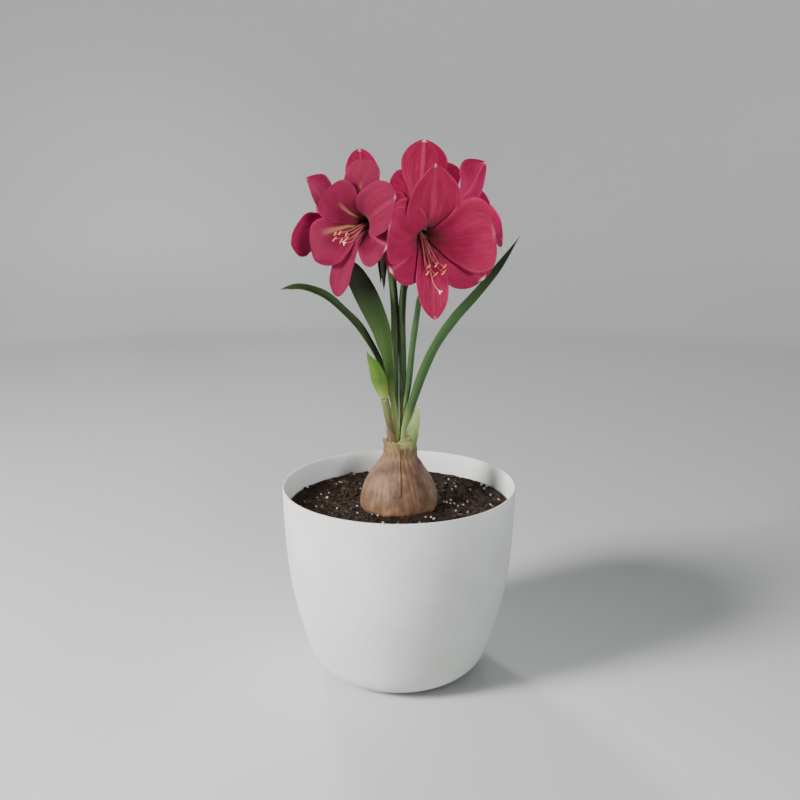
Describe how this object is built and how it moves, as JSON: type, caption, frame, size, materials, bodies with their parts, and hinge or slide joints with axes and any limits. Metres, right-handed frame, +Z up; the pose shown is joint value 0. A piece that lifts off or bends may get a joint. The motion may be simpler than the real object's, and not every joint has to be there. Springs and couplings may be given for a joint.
{
  "type": "potted amaryllis",
  "caption": "Flowering amaryllis bulb in a white pot: two upright stalks, each topped by wide trumpet blooms, with long arching strap leaves rising from the bulb's neck.",
  "frame": {"origin": "centre of the pot's flat underside", "axes": "+Z up along the pot's axis towards the flowers; -Y is the front that the picture shows; +X is to the right in it"},
  "size_m": [0.2904, 0.2889, 0.6583],
  "materials": {
    "pot": "matt white, fine-grained",
    "soil": "damp crumbly potting compost",
    "bulb": "papery brown dry skin",
    "stalk": "smooth fleshy green, faint bloom",
    "petal": "satin, finely veined deep rose red",
    "stamen": "waxy pale pink with dusty peach anthers",
    "bract": "dry dark membrane",
    "leaf": "smooth dark green, satin, with fine lines along it",
    "young_leaf": "smooth light green, satin",
    "sheath": "dry brown membrane"
  },
  "bodies": {
    "root": {"pot": "pot", "soil": "soil", "bulb": "bulb", "stalk_left": "stalk", "stalk_right": "stalk", "bloom_left_front": "petal", "bloom_left_side": "petal", "bloom_left_back": "petal", "bloom_right_front": "petal", "bloom_right_side": "petal", "bloom_right_back": "petal", "stamens_left_front": "stamen", "stamens_left_side": "stamen", "stamens_left_back": "stamen", "stamens_right_front": "stamen", "stamens_right_side": "stamen", "stamens_right_back": "stamen", "bract_left_front": "bract", "bract_left_back": "bract", "bract_right_front": "bract", "bract_right_back": "bract", "leaf_arching_left": "leaf", "leaf_broad_left": "leaf", "leaf_narrow_middle": "leaf", "leaf_long_right": "leaf", "leaf_stub_right": "young_leaf", "leaf_short": "young_leaf", "leaf_short_sheath": "sheath"}
  },
  "joints": []
}
